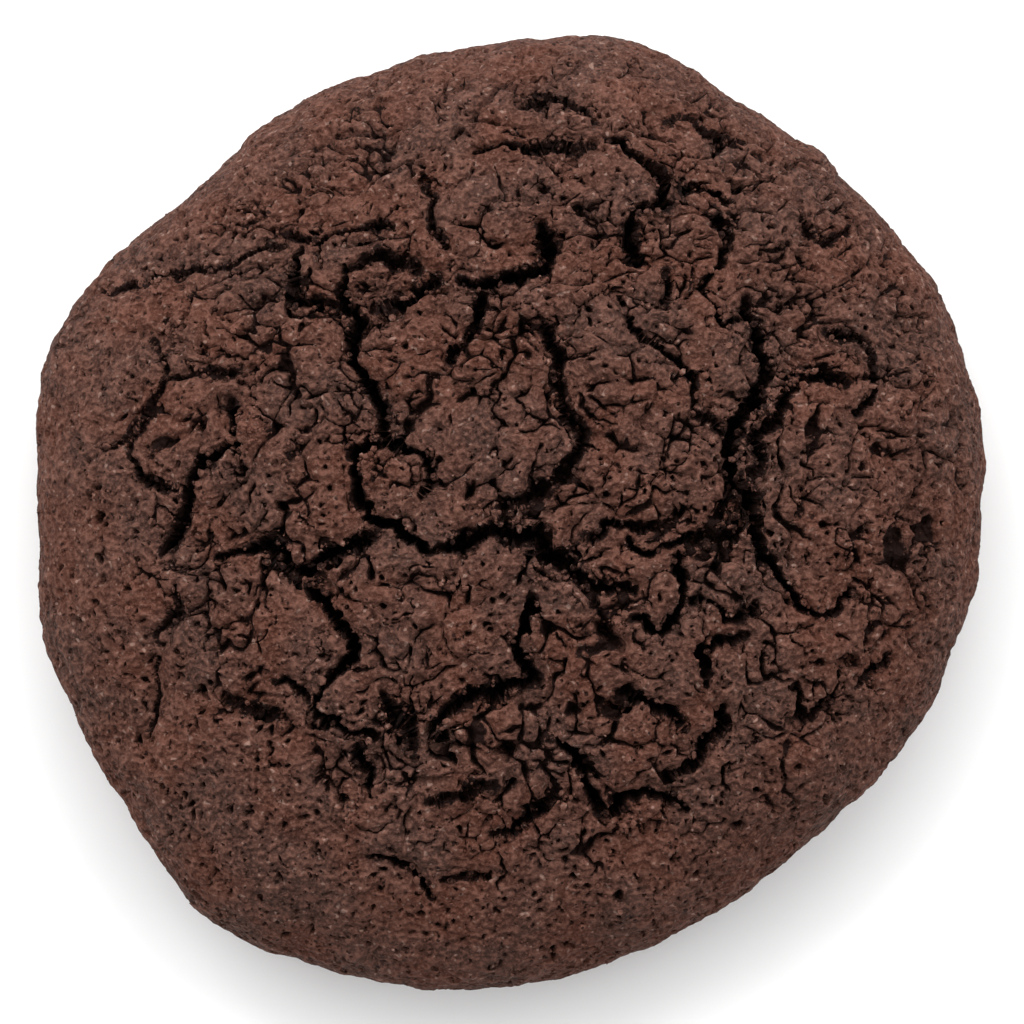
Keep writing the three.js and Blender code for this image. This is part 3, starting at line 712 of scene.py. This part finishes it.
def roughen(mesh):
    """Adds the slits, cracks, lumps and holes, and stores what the material needs to know."""
    points = read_points(mesh)
    normals = read_normals(mesh)
    top = np.flatnonzero(points[:, 2] > SKIN)
    at = points[top]
    edge = ease(*ABOVE_FLOOR, at[:, 2])

    shaken = warp(at, SHAKE, salt=50)
    off_middle = np.hypot(at[:, 0] - CRACKED_MIDDLE[0], at[:, 1] - CRACKED_MIDDLE[1])
    cracked = 1 - ease(CRACKED_REACH - CRACKED_FADE, CRACKED_REACH + CRACKED_FADE, off_middle)
    plan = ragged(at)
    width = uneven_width(at)
    slit, _ = cuts_at(plan, SLITS + stray_cracks, FINE_FAR, width)
    puff = np.zeros(len(at))
    bent = warp(at, PLATE_WARP, salt=70)
    bent[:, 1] += WRINKLED_MORE * np.maximum(at[:, 1] - WRINKLED_FROM, 0)
    for i, (size, half, depth, sag, step) in enumerate(SMALL_PLATES):
        edge_off, own = plates(bent, size, salt=80 + 10 * i)
        here = ease(*PLATES_SHOW, swell(at, 1.1 * size, salt=61 + i)) * cracked
        opened = here * ease(*PLATES_OPEN, swell(at, CRACK_BREAKS, salt=65 + i))
        line = 1 - (edge_off / (half * width * (NARROWED + (1 - NARROWED) * opened))) ** 2
        slit = np.maximum(slit, depth * line.clip(0) * opened)
        puff -= sag * (FLATTENED + (1 - FLATTENED) * here) * np.exp(-edge_off / (PLATE_SAG * size))
        puff += step * (own - 0.5) * here
    rough = near_patches(at, ROUGH) * (TORN + (1 - TORN) * swell(at, TORN_SIZE, salt=40))
    crumb = sum(height * lumps(at, size, salt=30 + i) for i, (size, height) in enumerate(CRUMB))
    crumb -= sum(height for size, height in CRUMB) / 2
    open_crumb = sum(h * lumps(at, size, salt=35 + i) for i, (size, h) in enumerate(OPEN_CRUMB))

    count = int(PORES_FOR_MM2 * len(at) * SKIN ** 2)
    size = rng.random(count) ** 2.5
    radius = PORE_RADIUS[0] + size * (PORE_RADIUS[1] - PORE_RADIUS[0])
    depth = PORE_DEPTH[0] + size * (PORE_DEPTH[1] - PORE_DEPTH[0])
    pit_sunk, pit = holes(shaken, *place_pits(at))
    pore_sunk, pore = holes(shaken, at[rng.integers(0, len(at), count)], radius, depth)
    sunk, pore = np.maximum(pit_sunk, pore_sunk), np.maximum(pit, pore)
    print(count, "pores")

    on_plates = 1 - IN_FISSURES * read_attribute(mesh, "fissure")[top]
    out = puff + crumb * (1 - rough) + (open_crumb - OPEN_SUNK) * rough - np.maximum(slit, sunk)
    out *= on_plates
    points[top] += (out * edge)[:, None] * normals[top]
    pore = spread(len(points), top, pore * edge)
    pit_underside(points, pore)
    write_points(mesh, points)
    # Where painted shade, over moist dough, darkens the slits and pores
    write_attribute(mesh, "slit", spread(len(points), top, np.clip(slit / DARK_SLIT, 0, 1) * edge))
    write_attribute(mesh, "pore", pore)
    write_attribute(mesh, "rough", spread(len(points), top, rough * edge))
    # the lumps' height, for the painted highlight on their tops
    write_attribute(mesh, "crumb", spread(len(points), top, crumb / TALL_CRUMB))


def pit_underside(points, pore):
    """Leaves the shallow pits of the steam that was caught between the dough and the tray."""
    under = np.flatnonzero(points[:, 2] <= SKIN)
    places = points[under][rng.integers(0, len(under), UNDERSIDE_PITS)]
    size = rng.random(UNDERSIDE_PITS) ** 3
    radius = UNDERSIDE_RADIUS[0] + size * (UNDERSIDE_RADIUS[1] - UNDERSIDE_RADIUS[0])
    shaken = warp(points[under], SHAKE, salt=50)
    sunk, inside = holes(shaken, places, radius, UNDERSIDE_DEPTH * radius)
    points[under, 2] += sunk
    pore[under] = inside


def place_pits(points):
    """Puts each pit on the skin where it shows from above."""
    rows = [np.argmin(np.hypot(points[:, 0] - x, points[:, 1] - y)) for x, y, *_ in PITS]
    sizes = np.array(PITS)
    return points[rows], sizes[:, 2] / 2, sizes[:, 3]


roughen(blank)

# %% [markdown]
# ## The finished skin
# The dense skin has done its work. A coarser remesh would thin it evenly and lose the cracks, so
# edges are collapsed instead, where they matter least: the smooth parts get large triangles, and
# the lips keep small ones. The relief has moved the skin a little out of the true size, so the
# crust is then trimmed to the CAD solid's box.

# %% Thin the skin where it is smooth
triangles = 2 * len(blank.polygons)
cookie_mesh = apply_modifier(
    blank, "DECIMATE", decimate_type="COLLAPSE",
    ratio=min(1, MOST_FACES / triangles), use_collapse_triangulate=True,
)
print("triangles:", triangles, "thinned to", len(cookie_mesh.polygons))

# %% Trim to the CAD solid's box and scale to metres
points = read_points(cookie_mesh)
low, high = points.min(axis=0), points.max(axis=0)
box_low, box_high = np.array(cad_low), np.array(cad_high)
write_points(cookie_mesh, box_low + (points - low) * (box_high - box_low) / (high - low))
print("trimmed by", np.round((box_high - box_low) / MM / (high - low), 4))

# %% The crust as a piece
crust = bpy.data.objects.new("crust", cookie_mesh)
bpy.context.scene.collection.objects.link(crust)
cookie_mesh.polygons.foreach_set("use_smooth", [True] * len(cookie_mesh.polygons))
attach(crust, "root")
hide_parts("cookie")

# %% [markdown]
# ## Loose crumbs
# Some of the crumb broke off and baked on. Larger crumbs lie in the fissures and rough patches, and
# fine grains stick all over. Each is a ball of twenty faces, knocked out of shape, and sunk a
# little into the skin. They are built as two joined meshes straight from arrays, since thousands
# of separate objects would be slow to handle.

# %% Strew crumbs
SUNK_CRUMB = 0.1                # share of its radius by which a crumb's middle stands off the skin
SQUASHED = (0.6, 1.3)           # least and most along each of a crumb's axes
KNOCKED = (0.75, 1.25)          # and at each of its corners
TAKEN_FROM_SKIN = 0.5               # how far a crumb takes on the painted shade and moist dark of the skin it lies on, and its roughness


def strew(name, count, sizes, liking):
    """Crumbs of these least and greatest radii in metres, more of them where the liking is high."""
    ball = bmesh.new()
    bmesh.ops.create_icosphere(ball, subdivisions=1, radius=1)
    corners = np.array([corner.co for corner in ball.verts])
    faces = np.array([[corner.index for corner in face.verts] for face in ball.faces])
    ball.free()
    skin, faces_out = read_points(cookie_mesh), read_normals(cookie_mesh)
    rows = rng.choice(len(skin), count, p=liking / liking.sum())
    radius = sizes[0] + (sizes[1] - sizes[0]) * rng.random(count) ** 2
    squash = rng.uniform(*SQUASHED, (count, 1, 3)) * rng.uniform(*KNOCKED, (count, len(corners), 1))
    turned = np.linalg.qr(rng.normal(size=(count, 3, 3)))[0]
    turned[np.linalg.det(turned) < 0] *= -1
    shapes = (corners * squash) @ turned * radius[:, None, None]
    middles = skin[rows] + faces_out[rows] * (radius * SUNK_CRUMB)[:, None]
    mesh = bpy.data.meshes.new(name)
    mesh.from_pydata(
        (shapes + middles[:, None]).reshape(-1, 3).clip(box_low, box_high), [],
        (faces + len(corners) * np.arange(count)[:, None, None]).reshape(-1, 3),
    )
    for attribute in ("fissure", "rough"):
        on_skin = read_attribute(cookie_mesh, attribute)[rows]
        write_attribute(mesh, attribute, np.repeat(TAKEN_FROM_SKIN * on_skin, len(corners)))
    write_attribute(mesh, "crumb", np.repeat(rng.random(count), len(corners)))
    piece = bpy.data.objects.new(name, mesh)
    bpy.context.scene.collection.objects.link(piece)
    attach(piece, "root")
    print(count, name)
    return piece


FACING_UP = (0.35, 0.7)         # crumbs stay on skin that faces up by more than this, and then this
STREWN_ABOVE = 4 * MM
above = read_points(cookie_mesh)[:, 2] > STREWN_ABOVE
on_top = ease(*FACING_UP, read_normals(cookie_mesh)[:, 2]) * above
open_skin = read_attribute(cookie_mesh, "fissure") + 2 * read_attribute(cookie_mesh, "rough").clip(0)
crumb_liking = (open_skin + 0.02) * (on_top + 0.05 * open_skin)
crumbs = strew("crumbs", 2_600, (0.12 * MM, 0.34 * MM), crumb_liking)
grains = strew("grains", 5_000, (0.05 * MM, 0.13 * MM), on_top)

# %% [markdown]
# ## The colour
# Baked cocoa dough is a dull red-brown. It isn't even: some patches are redder, some greyer, and
# some paler where the dough dried. A painted highlight lightens the tops of the lumps and the grain,
# with painted glints here and there, and painted shade darkens every hollow over moist, nearly black
# dough. A picture could be wrapped round the cookie, but it would stretch on the sides. Noise
# worked out in the cookie's own space has no seams, and the numbers stored on the skin say where
# the hollows are.

# %% Colours
def shade(code):
    """A colour as the shader wants it, from its usual six-figure code."""
    parts = [int(code[i:i + 2], 16) / 255 for i in (1, 3, 5)]
    return (*(part / 12.92 if part <= 0.04045 else ((part + 0.055) / 1.055) ** 2.4 for part in parts), 1)


# Sizes of the noises in the dough's colour, in millimetres
PATCHES = 5
MOTTLE = 0.8
BUMPS = 0.45
GLINTS = 0.36
GRAIN = 0.21

REDDER = shade("#48291f")
GREYER = shade("#3c2822")
# pale dry dough, and the painted highlight on the tops of the lumps and the grain
PALE_AND_LIT_TOP = shade("#765145")
PAINTED_GLINT = shade("#a08478")        # a painted glint of light
# painted shade in every hollow, over moist, nearly black dough
MOIST_AND_SHADED = shade("#120503")

# Each number stored on the skin, with where its painted shade over moist dough starts and where it is
# darkest
MOIST_AND_SHADED_PARTS = (("fissure", 0.25, 0.5), ("slit", 0.4, 0.7), ("pore", 0.3, 0.55))
DEEPEST_MOIST_SHADE = 0.96


# %% Helpers that put shader nodes together
def connect(tree, value, socket):
    """Joins another node's output to the socket, or sets the socket to a number or colour."""
    if isinstance(value, bpy.types.NodeSocket):
        tree.links.new(value, socket)
    else:
        socket.default_value = value


def maths(tree, operation, *values):
    """One sum on one to three values."""
    node = tree.nodes.new("ShaderNodeMath")
    node.operation = operation
    for value, socket in zip(values, node.inputs):
        connect(tree, value, socket)
    return node.outputs[0]


def rescale(tree, value, low, high, to_low, to_high):
    """Carries the range from low to high onto another range, and holds it there."""
    node = tree.nodes.new("ShaderNodeMapRange")
    for number, socket in zip((value, low, high, to_low, to_high), node.inputs):
        connect(tree, number, socket)
    return node.outputs[0]


def blend(tree, share, first, second):
    """A mix of two colours."""
    node = tree.nodes.new("ShaderNodeMix")
    node.data_type = "RGBA"
    for value, socket in zip((share, first, second), (node.inputs[0], node.inputs[6], node.inputs[7])):
        connect(tree, value, socket)
    return node.outputs[2]


def stored(tree, name):
    """A number stored on the skin."""
    node = tree.nodes.new("ShaderNodeAttribute")
    node.attribute_name = name
    return node.outputs["Fac"]


def noise(tree, at, size, detail, roughness=0.5):
    """Noise from 0 to 1, with patches of about this size in millimetres."""
    node = tree.nodes.new("ShaderNodeTexNoise")
    connect(tree, at, node.inputs["Vector"])
    node.inputs["Scale"].default_value = 1 / (size * MM)
    node.inputs["Detail"].default_value = detail
    node.inputs["Roughness"].default_value = roughness
    return node.outputs["Fac"]


# %% The finest pores
FINE_PORE_GAP = 0.56        # usual distance between them, in millimetres
FINE_PORE = 0.3             # reach of the largest, as a share of the gap
RIM_BEND = 0.3 * MM         # size and reach of the bends in their rims


def fine_pores(tree, at):
    """1 inside pores too fine for the mesh, 0 outside. Each has its own size and a ragged rim."""
    bend = tree.nodes.new("ShaderNodeTexNoise")
    connect(tree, at, bend.inputs["Vector"])
    bend.inputs["Scale"].default_value = 1 / RIM_BEND
    bend.inputs["Detail"].default_value = 0
    shift = tree.nodes.new("ShaderNodeVectorMath")
    shift.operation = "MULTIPLY_ADD"
    connect(tree, bend.outputs["Color"], shift.inputs[0])
    shift.inputs[1].default_value = (RIM_BEND,) * 3
    connect(tree, at, shift.inputs[2])
    cells = tree.nodes.new("ShaderNodeTexVoronoi")
    connect(tree, shift.outputs[0], cells.inputs["Vector"])
    cells.inputs["Scale"].default_value = 1 / (FINE_PORE_GAP * MM)
    own = tree.nodes.new("ShaderNodeSeparateColor")
    connect(tree, cells.outputs["Color"], own.inputs[0])
    rim = rescale(tree, own.outputs[0], 0.2, 1, 0, FINE_PORE)
    inside = maths(tree, "SUBTRACT", rim, cells.outputs["Distance"])
    return rescale(tree, inside, 0, 0.04, 0, 1)


# %% Baked dough, as a group of nodes that the crust and the crumbs share
def baked_dough():
    """Puts out the dough's colour, with its painted highlights, glints and shade, its roughness and its
    finest relief.
    """
    tree = bpy.data.node_groups.new("baked dough", "ShaderNodeTree")
    for name, kind in (("Colour", "Color"), ("Roughness", "Float"), ("Height", "Float")):
        tree.interface.new_socket(name, in_out="OUTPUT", socket_type="NodeSocket" + kind)
    at = tree.nodes.new("ShaderNodeTexCoord").outputs["Object"]

    patches = rescale(tree, noise(tree, at, PATCHES, detail=1), 0.36, 0.64, 0, 1)
    colour = blend(tree, patches, REDDER, GREYER)
    # Paler patches of dry dough, and a painted highlight on the tall lumps
    mottle = noise(tree, at, MOTTLE, detail=1)
    pale_and_lit = maths(tree, "ADD", mottle, maths(tree, "MULTIPLY", stored(tree, "crumb"), 0.25))
    colour = blend(tree, rescale(tree, pale_and_lit, 0.45, 0.95, 0, 0.6), colour, PALE_AND_LIT_TOP)
    # A painted highlight on the tops of the bumps, whose height also feeds the bump
    bumps = noise(tree, at, BUMPS, detail=0)
    colour = blend(tree, rescale(tree, bumps, 0.5, 0.72, 0, 0.45), colour, PALE_AND_LIT_TOP)
    # A painted highlight on the tops of the grain, which also feeds the bump
    grain = noise(tree, at, GRAIN, detail=1, roughness=0.8)
    colour = blend(tree, rescale(tree, grain, 0.5, 0.74, 0, 0.5), colour, PALE_AND_LIT_TOP)
    # Painted glints, in clusters where the mottle is high
    glints = noise(tree, at, GLINTS, detail=0)
    glints = maths(tree, "ADD", glints, maths(tree, "MULTIPLY", mottle, 0.5))
    colour = blend(tree, rescale(tree, glints, 0.98, 1.1, 0, 0.4), colour, PAINTED_GLINT)

    # Painted shade, over moist dough, in the fissures, slits and pores, with ragged edges
    fray = maths(tree, "MULTIPLY", maths(tree, "SUBTRACT", grain, 0.5), 1.2)
    moist_and_shade = 0
    for name, low, high in MOIST_AND_SHADED_PARTS:
        frayed = maths(tree, "ADD", stored(tree, name), fray)
        moist_and_shade = maths(tree, "MAXIMUM", moist_and_shade, rescale(tree, frayed, low, high, 0, DEEPEST_MOIST_SHADE))
    # Painted shade in pores too fine for the mesh
    prick = fine_pores(tree, at)
    moist_and_shade = maths(tree, "MAXIMUM", moist_and_shade, maths(tree, "MULTIPLY", prick, 0.85))
    # Painted shade in the low parts of the grain
    moist_and_shade = maths(tree, "MAXIMUM", moist_and_shade, rescale(tree, grain, 0.3, 0.48, 0.25, 0))
    colour = blend(tree, moist_and_shade, colour, MOIST_AND_SHADED)

    rough = rescale(tree, stored(tree, "rough"), 0, 1, 0.8, 0.5)
    fine = maths(tree, "ADD", maths(tree, "MULTIPLY", grain, 0.7), maths(tree, "MULTIPLY", bumps, 3))

    out = tree.nodes.new("NodeGroupOutput")
    for name, value in (("Colour", colour), ("Roughness", rough), ("Height", fine)):
        connect(tree, value, out.inputs[name])
    return tree


dough = baked_dough()


# %% The crust's material
def dough_material(name, relief):
    """The dough group on a dull surface, with its finest relief as a bump of this many millimetres."""
    material = bpy.data.materials.new(name)
    material.use_nodes = True
    tree = material.node_tree
    shader = tree.nodes["Principled BSDF"]
    mixed = tree.nodes.new("ShaderNodeGroup")
    mixed.node_tree = dough
    bump = tree.nodes.new("ShaderNodeBump")
    bump.inputs["Strength"].default_value = 1
    bump.inputs["Distance"].default_value = relief * MM
    connect(tree, mixed.outputs["Height"], bump.inputs["Height"])
    connect(tree, mixed.outputs["Colour"], shader.inputs["Base Color"])
    connect(tree, mixed.outputs["Roughness"], shader.inputs["Roughness"])
    connect(tree, bump.outputs["Normal"], shader.inputs["Normal"])
    shader.inputs["Specular IOR Level"].default_value = 0.1
    return material


cookie_mesh.materials.append(dough_material("baked crust", 0.18))
crumb_finish = dough_material("loose crumb", 0.08)
crumbs.data.materials.append(crumb_finish)
grains.data.materials.append(crumb_finish)

# %% [markdown]
# ## The studio
# The photograph looks straight down, with a long lens and no shadow to speak of, so the light came
# from all round, as in a light tent: low from every side, most of it from beyond the cookie's far
# side, and little from straight above, where the camera was. One lamp over the cookie would be
# simpler, but it would light the middle more than the rim, and the photograph has it the other way.

# %% Floor
FLOOR_SIZE = 1.5
floor_mesh = bpy.data.meshes.new("floor")
sheet = bmesh.new()
bmesh.ops.create_grid(sheet, x_segments=1, y_segments=1, size=FLOOR_SIZE)
sheet.to_mesh(floor_mesh)
sheet.free()
floor = bpy.data.objects.new("floor", floor_mesh)
bpy.context.scene.collection.objects.link(floor)
floor_paint = bpy.data.materials.new("pale floor")
floor_paint.use_nodes = True
floor_shader = floor_paint.node_tree.nodes["Principled BSDF"]
floor_shader.inputs["Base Color"].default_value = (0.9, 0.9, 0.9, 1)
floor_shader.inputs["Roughness"].default_value = 0.9
floor_mesh.materials.append(floor_paint)

# %% Lights
TENT_REACH = 0.6                # metres from the cookie to the tent's walls
TENT_PANELS = 8
TENT_HEIGHT = math.radians(36)
PANEL_SIZE = 0.4
PANEL_POWER = 1.2
FAR_SIDE = math.radians(96)     # the direction that most of the light comes from
FAR_SHARE = 0.95
FILL = 0.3                      # the even light from all round


def soft_light(name, place, size, power):
    """A square area light that faces the cookie."""
    lamp = bpy.data.lights.new(name, "AREA")
    lamp.shape = "SQUARE"
    lamp.size = size
    lamp.energy = power
    holder = bpy.data.objects.new(name, lamp)
    holder.location = place
    holder.rotation_mode = "QUATERNION"
    holder.rotation_quaternion = (-holder.location).to_track_quat("-Z", "Y")
    bpy.context.scene.collection.objects.link(holder)


for i in range(TENT_PANELS):
    way = 2 * math.pi * i / TENT_PANELS
    flat = TENT_REACH * math.cos(TENT_HEIGHT)
    place = (flat * math.cos(way), flat * math.sin(way), TENT_REACH * math.sin(TENT_HEIGHT))
    power = PANEL_POWER * (1 + FAR_SHARE * math.cos(way - FAR_SIDE))
    soft_light(f"panel {i + 1}", place, PANEL_SIZE, power)
world = bpy.data.worlds.new("studio")
world.use_nodes = True
world.node_tree.nodes["Background"].inputs["Color"].default_value = (1, 1, 1, 1)
world.node_tree.nodes["Background"].inputs["Strength"].default_value = FILL
bpy.context.scene.world = world
bpy.context.scene.view_settings.view_transform = "Standard"

# %% Camera
FRAME_WIDTH = 75.45 * MM        # what the photograph's frame spans at the cookie's waist
FRAME_MIDDLE = (0.11 * MM, 0.04 * MM)
LENS = 200
SENSOR = 36
camera = bpy.data.cameras.new("camera")
camera.lens = LENS
camera.sensor_width = SENSOR
eye = bpy.data.objects.new("camera", camera)
eye.location = (*FRAME_MIDDLE, WAIST_HEIGHT * MM + FRAME_WIDTH * LENS / SENSOR)
bpy.context.scene.collection.objects.link(eye)
bpy.context.scene.camera = eye
